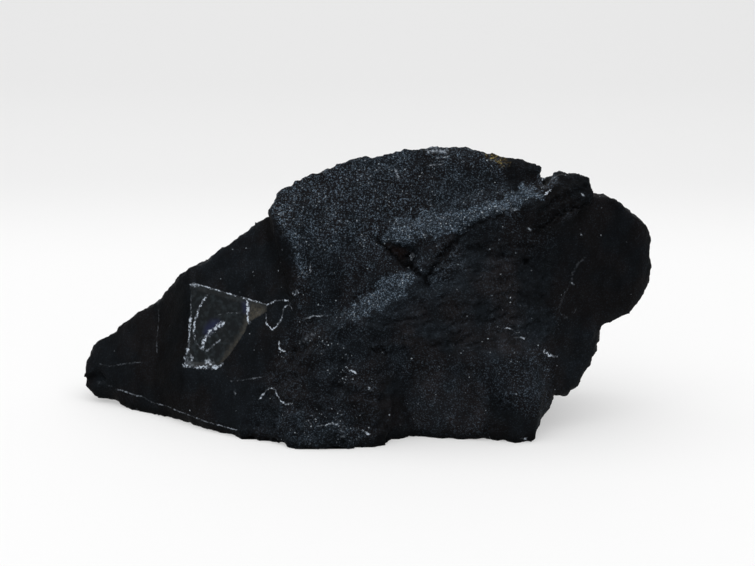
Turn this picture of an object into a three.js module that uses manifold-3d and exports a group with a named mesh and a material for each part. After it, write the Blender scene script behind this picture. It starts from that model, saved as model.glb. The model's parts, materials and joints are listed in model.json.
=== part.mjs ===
// A raw lump of black silica, standing on its broken underside, in millimetres with +Z up.
// The stone is one solid: convex lumps are joined, flakes and cracks are cut out of it, and the
// whole surface is then rippled by the shallow scallops that a brittle stone breaks into.
import * as THREE from "three";
import { ConvexHull } from "three/addons/math/ConvexHull.js";
import { ImprovedNoise } from "three/addons/math/ImprovedNoise.js";
import { mergeVertices } from "three/addons/utils/BufferGeometryUtils.js";
import Module from "manifold-3d";

const FACET = 2.34; // spacing of the points that the skin of the stone is drawn through
const SCALLOP = { size: 12, depth: 0.9 }; // broad conchoidal dishes
const BEND = { size: 17, depth: 1.3 }; // slow bends that keep no edge straight
const CHIP = { size: 4.2, depth: 0.35 }; // small hackly chips
const SINK = 1; // how far the feet reach below the floor before they are cut flat

// Lumps that grew as one stone, each given by the corners of its convex form: x to the right,
// y away from the front, z up.
const LUMPS = {
  crown: [
    [-22, -4, 48.5], [-21, -3.5, 51], [-18.5, -2, 53], [-12, -1, 57], [-4, 0, 60], [4.5, 1, 61],
    [13.5, 1, 61.5], [22, 0, 61], [28.5, -1, 59.5], [34, -2, 58.5], [36.5, -3, 58],
    [-17, -6.5, 43], [-14, -9.5, 33], [-14, -11.5, 24], [5, -11.5, 34], [28, -7.5, 43.5],
    [37, -6, 52], [-17, 8, 49], [-4, 11, 55.5], [12, 12, 57.5], [28, 9, 56], [36, 5, 54],
    [-20, 16, 34], [8, 22, 34], [36, 18, 36],
  ],
  wing: [
    [-22.5, 0, 46.5], [-28, 1, 42.5], [-33.5, 2, 38.5], [-39, 4, 34.5], [-40, 2.5, 27],
    [-40.5, -1, 18.5], [-41, -4, 10], [-40.5, -6, 3], [-35, -9.5, 2.5], [-29, -12.5, 1.5],
    [-22, -16, 1], [-39, -6, -SINK], [-33.5, -9.3, -SINK], [-27.5, -12.3, -SINK],
    [-20, -16, -SINK], [-18, -14, 14], [-14, -8, 32], [-24, 13, 41], [-36, 14, 33],
    [-38, 22, 8], [-36, 20, 0.5], [-20, 24, 30], [-14, 20, 36], [-10, 0, 0],
  ],
  shoulder: [
    [-39, 4, 34.5], [-42, 5, 32.5], [-44.5, 7, 29.5], [-47, 8, 26], [-40, 2.5, 27],
    [-40.5, -1, 18.5], [-41, -4, 10], [-40.5, -6, 3], [-48, 8, 24], [-48.5, 6, 16.5],
    [-48.5, 4, 9.5], [-48.5, 1.5, 3.5], [-39, -6, -SINK], [-46, -0.5, -SINK],
    [-40, 16, 31], [-35.5, 14, 33.2], [-47, 17, 22], [-40, 22, 3], [-40, 22, 12], [-46, 20, 1],
  ],
  cheek: [
    [-44, 8, 27], [-48, 8.5, 24.5], [-51, 9, 22.5], [-54, 10, 20], [-57, 11, 18],
    [-60, 12, 16], [-62, 13, 14], [-48.5, 6, 16.5], [-48.5, 4, 9.5], [-48.5, 0.5, 3.5],
    [-51.5, 2, 3.5], [-54.5, 4, 3.5], [-58.5, 7, 3], [-60, 8.5, 10], [-43, -3, -SINK],
    [-48, 0.5, -SINK], [-54, 4, -0.5], [-57, 6.5, 0.8], [-43, -2, 6], [-42, 8, 24],
    [-44, 16, 25], [-50, 17, 20], [-58, 19, 13], [-60, 21, 3], [-44, 22, 3],
  ],
  nose: [
    [-66, 11.5, 9], [-64, 13, 14], [-60.5, 13, 15.5], [-65.5, 9.5, 3], [-62.5, 9, 0.8],
    [-58, 7.5, 1.2], [-59, 8, 8], [-57, 7, 5], [-65, 19, 9], [-62, 21, 12], [-62, 19, 2],
    [-56, 22, 3],
  ],
  core: [
    [-34, 20, 28], [-18, 23, 34], [10, 25, 34], [34, 20, 38], [46, 15, 40],
    [49, 15, 24], [44, 17, 9], [26, 22, 1.5], [-26, 22, 1.5], [-36, 22, 6],
    [-26, -6, 5], [40, -6, 8], [44, -4, 36], [-10, -6, 36], [30, -8, 1.5], [-24, -8, 1.5],
  ],
  back: [
    [-22, 6, 43.5], [-4, 10, 55], [14, 11, 57.5], [30, 8, 55.5], [38, 4, 54], [46, 6, 50.5],
    [54, 10, 45], [58, 12, 38], [51, 16, 24], [42, 20, 12], [12, 25, 29], [-20, 24, 26],
    [-38, 20, 22], [-36, 12, 31.5], [-20, 0, 30], [40, 0, 30],
  ],
  back_left: [
    [-62, 14, 11], [-61, 20, 4], [-58, 15, 1.5], [-40, 14, 29], [-30, 22, 22],
    [-28, 24, 5], [-38, 8, 1], [-30, 8, 30], [-30, 20, 1],
  ],
  heel_left: [
    [-30, 21, -SINK], [-16, 22, -SINK], [-18, 12, -SINK], [-29, 12, -SINK],
    [-36, 22, 6], [-8, 24, 8], [-8, 6, 4], [-38, 8, 6],
  ],
  heel_right: [
    [14, 21, -SINK], [29, 19, -SINK], [27, 9, -SINK], [15, 10, -SINK],
    [4, 24, 8], [38, 19, 8], [38, 4, 6], [6, 4, 4],
  ],
  foot_left: [
    [-22, -15.5, -SINK], [-17, -19, -SINK], [-11.5, -20, -SINK], [-5.5, -20, -SINK],
    [0, -19, -SINK], [4, -17.5, -SINK], [5.5, -14.5, -SINK], [-17, -17.5, 9],
    [0, -18, 11], [4.5, -16, 10], [-12, -15, 22.3], [-4, -15, 25.8], [1.5, -14.5, 28.3],
    [8, -13.3, 31.5], [-19, -13.5, 15],
    [-20, -2, -SINK], [4, -4, -SINK], [-20, 0, 20], [4, 0, 24],
  ],
  web: [
    [3, -15, -SINK], [6.5, -13, -SINK], [10.5, -10, -SINK], [14, -11.5, -SINK],
    [5, -15, 20], [9, -14, 22], [13, -14, 22], [5, -14, 12], [4, 0, -SINK], [13, 0, -SINK],
    [4, 0, 18], [13, 0, 18],
  ],
  foot_right: [
    [11.5, -11.5, -SINK], [14.5, -12.5, -SINK], [19.5, -14, -SINK], [29, -14, -SINK],
    [35.5, -16, -SINK], [35.5, -12, 0.5], [32, -4, -SINK], [14, -4, -SINK], [39.5, -9.5, 8.5],
    [36, -12.5, 20], [27, -14.5, 24], [10, -14, 24], [7.5, -13.5, 17], [9, -13, 9],
  ],
  flank: [
    [39.5, -9.5, 9], [43.5, -8, 8.3], [46, -7, 9.7], [49, -6, 14], [50.5, -5.5, 18],
    [39, -11, 20], [51, -5, 23], [49, -5.5, 32], [41.5, -10, 32], [28, -13.5, 31.5], [27, -14, 22],
    [38, -10.5, 16], [50, 12, 22], [46, 14, 12], [42, 14, 10], [46, 12, 32], [38, 6, 10],
  ],
  middle: [
    [7.5, -9.5, 41.5], [18.5, -10.3, 44.5], [29.5, -9.3, 50], [37, -8.5, 52],
    [7, -12.5, 33], [15.5, -14, 32], [28, -13.5, 31.5], [41.5, -10, 32], [44.5, -8, 37],
    [48, -6, 42], [48, -6.5, 48], [4.5, -15, 24], [27, -14.5, 20], [40, -10, 20],
    [10, -14.5, 20], [8, 4, 40], [46, 6, 40], [10, 4, 20], [44, 6, 18],
  ],
  shelf: [
    [2.5, -9, 43.5], [7.5, -10.5, 42.5], [18.5, -10.8, 45], [22, -10.5, 47],
    [29.5, -9.8, 50.5], [37.5, -8.8, 53.5], [5, -3, 48.5], [18.5, -3, 51],
    [32.5, -2, 54.5], [36, -4, 55.5], [9, -8, 40.5], [22, -7.5, 44], [36, -6.5, 50],
    [10, 0, 40], [36, 0, 48],
  ],
  ledge: [
    [8.5, -13.5, 32.5], [1.5, -14.7, 29], [-4, -15.2, 26.5], [-12, -15.2, 23],
    [-15, -13.5, 22.5], [-15, -11, 24.5], [-6.5, -8, 30], [0, -7, 35.5], [7.5, -6.5, 39],
    [10.5, -7, 38], [8, -12, 29], [-12, -12, 19], [0, 0, 24], [9, 0, 32],
  ],
  block: [
    [38.5, -5, 55.5], [40, -5, 56.3], [44.5, -5, 56.3], [47, -5, 55.3], [39, -7.5, 54],
    [47.5, -6.5, 54.5], [48, -8, 52.5], [44, -9.7, 50.2], [40.5, -10.5, 49.2], [36, -11.3, 46.3],
    [33, -11, 45.2], [33, -10, 50], [37, -8, 54], [40, 4, 54], [46, 4, 54], [48, 2, 50],
    [36, 2, 46], [40, -8, 45], [36, -8.5, 44.5], [47, 7, 49],
  ],
  lobe: [
    [48.5, -5, 52.5], [53, -4, 51.5], [56, -3, 50], [59, -2, 47], [61.5, 0, 42.5],
    [62, 0, 38], [61.5, 0, 34.5], [62, 0, 31], [60, -1, 27.5], [57, -2, 24.5],
    [51.5, -5, 22.5], [40, -8.5, 47], [42, -9.5, 32], [52, 12, 48], [58, 12, 43],
    [60, 13, 36], [58, 12, 28], [50, 13, 24], [44, 14, 46],
  ],
};

// Splinters that have fallen out, given like the lumps.
const GAPS = {
  pit: [
    [2.5, -16, 44.5], [10, -16, 43.5], [9.5, -16, 38.5],
    [3.5, -7, 42], [10, -6.5, 42], [9.5, -7, 38],
  ],
  crack: [
    [14.5, -17, 40.5], [13.5, -17, 37], [10.5, -17, 34],
    [11.5, -17, 34], [15.5, -17, 40], [13, -9, 37],
  ],
  nose_notch: [
    [-65, 4, 10], [-58.5, 3, 6.5], [-58.5, 3, 5], [-66, 4, 5.5],
    [-63, 12, 7.5], [-59, 9.5, 6], [-64, 12, 6],
  ],
};

// Shells of silica that flaked off: [centre], [half lengths].
const FLAKES = {
  foot_dish: [[19, -31, 9.5], [17, 18.2, 13]],
  back_dish: [[-14, 42, 30], [30, 22, 26]],
  back_scoop: [[32, 41, 17], [30, 22, 22]],
  lobe_back: [[58, 30, 40], [14, 20, 16]],
};

// Faces of a convex form, each a plane with the form behind it.
const planesOf = (corners) =>
  new ConvexHull().setFromPoints(corners.map((c) => new THREE.Vector3(...c))).faces;

const lumps = Object.values(LUMPS).map(planesOf);
const gaps = Object.values(GAPS).map(planesOf);
const flakes = Object.values(FLAKES).map(([centre, radii]) => ({
  centre: new THREE.Vector3(...centre),
  radii: new THREE.Vector3(...radii),
}));

// Height of a point above the nearest face of a convex form, negative inside it.
function aboveHull(planes, point) {
  let height = -Infinity;
  for (const { normal, constant } of planes) height = Math.max(height, normal.dot(point) - constant);
  return height;
}

function aboveEllipsoid({ centre, radii }, point) {
  const scaled = point.clone().sub(centre).divide(radii).length();
  return (scaled - 1) * Math.min(radii.x, radii.y, radii.z);
}

// A repeatable random offset, from 0 to 1 on each axis, for a cell of a grid.
function scatter({ x, y, z }) {
  const part = (a, b, c) => {
    const s = Math.sin(a * x + b * y + c * z) * 43758.5453;
    return s - Math.floor(s);
  };
  return new THREE.Vector3(
    part(127.1, 311.7, 74.7),
    part(269.5, 183.3, 246.1),
    part(113.5, 271.9, 124.6),
  );
}

// Distance from a point to the nearest seed, one seed being scattered in each cell of a grid,
// both measured in cells.
function seedDistance(point, size) {
  const cell = point.clone().divideScalar(size);
  const home = cell.clone().floor();
  const seed = new THREE.Vector3();
  let nearest = Infinity;
  for (let i = -1; i <= 1; i++)
    for (let j = -1; j <= 1; j++)
      for (let k = -1; k <= 1; k++) {
        seed.set(home.x + i, home.y + j, home.z + k);
        nearest = Math.min(nearest, seed.add(scatter(seed)).distanceTo(cell));
      }
  return nearest;
}

const noise = new ImprovedNoise();
const waver = (point, size, shift) =>
  noise.noise(point.x / size + shift, point.y / size, point.z / size);

// Height above the weathered stone: the forms are bent a little, joined, cut, then dished.
function aboveStone(point) {
  const bent = new THREE.Vector3(
    point.x + BEND.depth * waver(point, BEND.size, 10),
    point.y + BEND.depth * waver(point, BEND.size, 20),
    point.z + BEND.depth * waver(point, BEND.size, 30),
  );
  let height = Infinity;
  for (const lump of lumps) height = Math.min(height, aboveHull(lump, bent));
  for (const gap of gaps) height = Math.max(height, -aboveHull(gap, bent));
  for (const flake of flakes) height = Math.max(height, -aboveEllipsoid(flake, bent));
  const dish = (seedDistance(point, SCALLOP.size) - 0.5) * SCALLOP.depth;
  const chip = (seedDistance(point, CHIP.size) - 0.5) * CHIP.depth;
  return height - dish - chip;
}

// Draws a closed skin where the height is zero: one point in each cell of a grid that the
// surface crosses, set where the faces crossing that cell meet, so that edges stay crisp.
function skinOf(heightAt, box, step) {
  const count = box.getSize(new THREE.Vector3()).divideScalar(step).ceil();
  const [nx, ny, nz] = [count.x + 1, count.y + 1, count.z + 1];
  const corner = (i, j, k) => i + nx * (j + ny * k);
  const place = (i, j, k) => new THREE.Vector3(i, j, k).multiplyScalar(step).add(box.min);
  const heights = new Float64Array(nx * ny * nz);
  for (let k = 0; k < nz; k++)
    for (let j = 0; j < ny; j++)
      for (let i = 0; i < nx; i++) heights[corner(i, j, k)] = heightAt(place(i, j, k));

  const AXES = [[1, 0, 0], [0, 1, 0], [0, 0, 1]];

  // A grid square whose corners are in and out by turns would pinch the skin, so the lower of
  // its outer corners is filled in.
  let pinched = true;
  while (pinched) {
    pinched = false;
    for (let k = 0; k < nz - 1; k++)
      for (let j = 0; j < ny - 1; j++)
        for (let i = 0; i < nx - 1; i++)
          for (const [u, v] of [[1, nx], [nx, nx * ny], [nx * ny, 1]]) {
            const at = corner(i, j, k);
            const [p, q, r, s] = [at, at + u, at + u + v, at + v];
            const full = [p, q, r, s].map((n) => heights[n] < 0);
            if (full[0] !== full[2] || full[1] !== full[3] || full[0] === full[1]) continue;
            const [m, n] = full[0] ? [q, s] : [p, r];
            heights[heights[m] < heights[n] ? m : n] = -1e-3;
            pinched = true;
          }
  }
  const inside = (i, j, k) => heights[corner(i, j, k)] < 0;
  const slopeAt = (p) => {
    const small = step / 50;
    const rise = (x, y, z) =>
      heightAt(new THREE.Vector3(p.x + x, p.y + y, p.z + z)) -
      heightAt(new THREE.Vector3(p.x - x, p.y - y, p.z - z));
    return new THREE.Vector3(rise(small, 0, 0), rise(0, small, 0), rise(0, 0, small)).normalize();
  };

  // Where each grid edge crosses the surface.
  const crossings = new Map();
  for (let k = 0; k < nz; k++)
    for (let j = 0; j < ny; j++)
      for (let i = 0; i < nx; i++)
        AXES.forEach(([a, b, c], axis) => {
          if (i + a >= nx || j + b >= ny || k + c >= nz) return;
          const near = heights[corner(i, j, k)];
          const far = heights[corner(i + a, j + b, k + c)];
          if (near < 0 === far < 0) return;
          const at = place(i, j, k).lerp(place(i + a, j + b, k + c), near / (near - far));
          crossings.set(corner(i, j, k) * 3 + axis, { at, slope: slopeAt(at) });
        });

  const points = [];
  const pointIn = new Map();
  for (let k = 0; k < nz - 1; k++)
    for (let j = 0; j < ny - 1; j++)
      for (let i = 0; i < nx - 1; i++) {
        const met = [];
        AXES.forEach(([a, b, c], axis) => {
          for (const [p, q] of [[0, 0], [1, 0], [0, 1], [1, 1]]) {
            const along = a ? [0, p, q] : b ? [p, 0, q] : [p, q, 0];
            const key = corner(i + along[0], j + along[1], k + along[2]) * 3 + axis;
            if (crossings.has(key)) met.push(crossings.get(key));
          }
        });
        if (!met.length) continue;
        pointIn.set(corner(i, j, k), points.length);
        points.push(meetingPoint(met, place(i, j, k), step));
      }

  const faces = [];
  for (let k = 1; k < nz - 1; k++)
    for (let j = 1; j < ny - 1; j++)
      for (let i = 1; i < nx - 1; i++)
        AXES.forEach(([a, b, c], axis) => {
          if (!crossings.has(corner(i, j, k) * 3 + axis)) return;
          // The four cells around the edge, in order.
          const [u, v] = [AXES[(axis + 1) % 3], AXES[(axis + 2) % 3]];
          const ring = [[0, 0], [1, 0], [1, 1], [0, 1]].map(([p, q]) =>
            pointIn.get(
              corner(i - p * u[0] - q * v[0], j - p * u[1] - q * v[1], k - p * u[2] - q * v[2]),
            ),
          );
          if (!inside(i, j, k)) ring.reverse();
          const [w, x, y, z] = ring;
          const span = (m, n) => points[m].distanceTo(points[n]);
          if (span(w, y) < span(x, z)) faces.push([w, x, y], [w, y, z]);
          else faces.push([x, y, z], [x, z, w]);
        });
  return { points, faces };
}

// The point nearest to every face that crosses a cell, held inside the cell.
function meetingPoint(met, low, step) {
  const middle = new THREE.Vector3();
  for (const { at } of met) middle.addScaledVector(at, 1 / met.length);
  const HOLD = 0.03; // how strongly the point is held to the middle of the crossings
  const sums = [HOLD, 0, 0, 0, HOLD, 0, 0, 0, HOLD];
  const pull = new THREE.Vector3();
  for (const { at, slope } of met) {
    const n = slope.toArray();
    n.forEach((a, r) => n.forEach((b, s) => (sums[3 * r + s] += a * b)));
    pull.addScaledVector(slope, slope.dot(at.clone().sub(middle)));
  }
  const shift = pull.applyMatrix3(new THREE.Matrix3().fromArray(sums).invert());
  const cell = new THREE.Box3(low, low.clone().addScalar(step)).expandByScalar(-step / 20);
  return cell.clampPoint(middle.add(shift), shift);
}

const wasm = await Module();
wasm.setup();

const solidOf = ({ attributes, index }) =>
  new wasm.Manifold(
    new wasm.Mesh({
      numProp: 3,
      vertProperties: attributes.position.array,
      triVerts: new Uint32Array(index.array),
    }),
  );

const room = new THREE.Box3(new THREE.Vector3(-72, -28, -8), new THREE.Vector3(70, 32, 70));
const { points, faces } = skinOf(aboveStone, room, FACET);
const skin = new THREE.BufferGeometry().setFromPoints(points).setIndex(faces.flat());
const slab = new THREE.BoxGeometry(200, 200, 40).translate(0, 0, -20);
slab.deleteAttribute("normal");
slab.deleteAttribute("uv");
const floor = mergeVertices(slab);
const [whole] = solidOf(skin)
  .decompose()
  .sort((a, b) => b.volume() - a.volume());
const stone = whole.subtract(solidOf(floor));

const cut = stone.getMesh();
const geometry = new THREE.BufferGeometry();
geometry.setAttribute("position", new THREE.BufferAttribute(cut.vertProperties, cut.numProp));
geometry.setIndex(new THREE.BufferAttribute(cut.triVerts, 1));
geometry.computeBoundingBox();
const middle = geometry.boundingBox.getCenter(new THREE.Vector3());
geometry.translate(-middle.x, -middle.y, 0);

const material = new THREE.MeshStandardMaterial({ color: 0x16181b, roughness: 0.75, metalness: 0 });
const body = new THREE.Mesh(geometry, material);
body.name = "stone";
const part = new THREE.Group();
part.add(body);
export default part;
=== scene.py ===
# %% [markdown]
# # A raw lump of black silica
#
# Black silica is quartz whose crystals are too small to tell apart, darkened by carbon. It breaks
# like flint. A fresh break is either a smooth shell, or a granular face that glitters with
# thousands of tiny crystal ends. This notebook takes the plain solid of one broken lump, gives its
# skin the relief that such breaks leave, and then paints the granular bands, the dull smooth
# faces, the small window of clear silica and its white veins.

import json
from math import cos, radians, sin

import bpy
import numpy as np
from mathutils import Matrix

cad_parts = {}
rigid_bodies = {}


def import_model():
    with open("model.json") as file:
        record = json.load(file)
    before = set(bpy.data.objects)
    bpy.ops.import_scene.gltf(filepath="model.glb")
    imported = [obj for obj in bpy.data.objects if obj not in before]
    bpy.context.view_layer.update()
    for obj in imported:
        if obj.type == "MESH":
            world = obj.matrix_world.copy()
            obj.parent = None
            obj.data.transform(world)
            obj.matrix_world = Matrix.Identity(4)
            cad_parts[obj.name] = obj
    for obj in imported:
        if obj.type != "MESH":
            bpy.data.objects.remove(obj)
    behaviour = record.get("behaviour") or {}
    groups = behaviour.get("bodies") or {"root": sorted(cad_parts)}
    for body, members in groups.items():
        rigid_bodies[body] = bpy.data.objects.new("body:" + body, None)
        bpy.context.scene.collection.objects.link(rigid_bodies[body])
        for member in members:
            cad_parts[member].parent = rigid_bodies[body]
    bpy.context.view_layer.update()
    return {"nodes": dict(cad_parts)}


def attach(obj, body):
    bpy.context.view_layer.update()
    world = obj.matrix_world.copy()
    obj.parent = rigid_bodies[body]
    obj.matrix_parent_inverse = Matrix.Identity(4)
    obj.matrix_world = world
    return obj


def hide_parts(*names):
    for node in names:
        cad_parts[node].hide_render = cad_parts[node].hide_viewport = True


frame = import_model()
MM = 0.001  # the frame is in metres

# %% [markdown]
# ## The skin of the stone
#
# The solid is drawn with flat facets about 2 mm wide, while the real skin has far finer detail.
# It could be sculpted by hand, but a net of even squares and a few modifiers give the same relief
# on every run. So the solid is copied, its loose triangles are welded, and a net of squares half a
# millimetre wide is laid over it. What is finer than that is left to the paint.

# %% Lay a fine net over the solid
NET = 0.505 * MM  # width of one square: a finer net would soon pass 200,000 triangles
WELD = 1e-6  # points that are nearer to each other than this, in metres, become one


def apply_modifier(thing, kind, **settings):
    """Adds a modifier with its settings and applies it at once."""
    bpy.context.view_layer.objects.active = thing
    bpy.ops.object.modifier_add(type=kind)
    modifier = thing.modifiers[-1]
    for name, value in settings.items():
        setattr(modifier, name, value)
    bpy.ops.object.modifier_apply(modifier=modifier.name)


bpy.ops.object.select_all(action="DESELECT")
lump = bpy.data.objects.new("silica_lump", frame["nodes"]["stone"].data.copy())
bpy.context.collection.objects.link(lump)
lump.select_set(True)
bpy.context.view_layer.objects.active = lump
bpy.ops.object.mode_set(mode="EDIT")
bpy.ops.mesh.select_all(action="SELECT")
bpy.ops.mesh.remove_doubles(threshold=WELD)
bpy.ops.object.mode_set(mode="OBJECT")
apply_modifier(lump, "REMESH", mode="VOXEL", voxel_size=NET)
print("net:", len(lump.data.polygons), "faces")

# %% [markdown]
# ## Melt the facets, keep the edges
#
# Smoothing the whole net would take the facets away, but it would round the sharp edges of the
# breaks as well, and a broken silica edge is as sharp as glass. A throwaway copy is smoothed
# hard first. Its points move most where an edge is, so the distance they move tells which points
# to leave alone. The side to which they move will tell an outer edge from an inner corner.

# %% Smooth between the edges
NO_EDGE, FULL_EDGE = 0.09, 0.26  # mm that a point moves: on no edge, and on a sharp one


def read_points(mesh, what="co"):
    """One row of x, y and z for each point: its place, or its normal."""
    values = np.zeros(len(mesh.vertices) * 3, np.float32)
    mesh.vertices.foreach_get(what, values)
    return values.reshape(-1, 3)


def soft_step(value, low, high):
    """Rises smoothly from 0 at low to 1 at high."""
    t = np.clip((value - low) / (high - low), 0, 1)
    return t * t * (3 - 2 * t)


def add_group(name, weights, steps=40):
    """A vertex group on the lump. The weights are rounded, as points are added step by step."""
    group = lump.vertex_groups.new(name=name)
    levels = np.round(np.clip(weights, 0, 1) * steps).astype(int)
    for level in range(1, steps + 1):
        chosen = np.nonzero(levels == level)[0]
        if len(chosen):
            group.add(chosen.tolist(), level / steps, "REPLACE")


def edge_shift(passes):
    """How far each point moves outwards, in mm, when a copy of the net is smoothed."""
    bpy.ops.object.select_all(action="DESELECT")
    lump.select_set(True)
    bpy.context.view_layer.objects.active = lump
    bpy.ops.object.duplicate()
    copy = bpy.context.object
    apply_modifier(copy, "SMOOTH", factor=0.5, iterations=passes)
    shift = (read_points(copy.data) - read_points(lump.data)) / MM
    bpy.ops.object.delete()
    return np.sum(shift * read_points(lump.data, "normal"), axis=1)


crease = soft_step(np.abs(edge_shift(passes=9)), NO_EDGE, FULL_EDGE)
add_group("between_edges", 1 - crease)
apply_modifier(lump, "SMOOTH", factor=0.5, iterations=2)
apply_modifier(lump, "SMOOTH", factor=0.5, iterations=13, vertex_group="between_edges")
print("points on an edge:", int((crease > 0.5).sum()), "of", len(crease))

# %% [markdown]
# ## Where each kind of break lies
#
# Every break has its own outline on the front of the stone. Each outline is written as a few
# corners, x and z in millimetres, and each point of the net gets its depth inside that outline,
# which is less than nothing outside it. A depth can be cut off anywhere later, with a sharp edge
# or a soft one, and a little noise on it makes the edge ragged.

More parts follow.
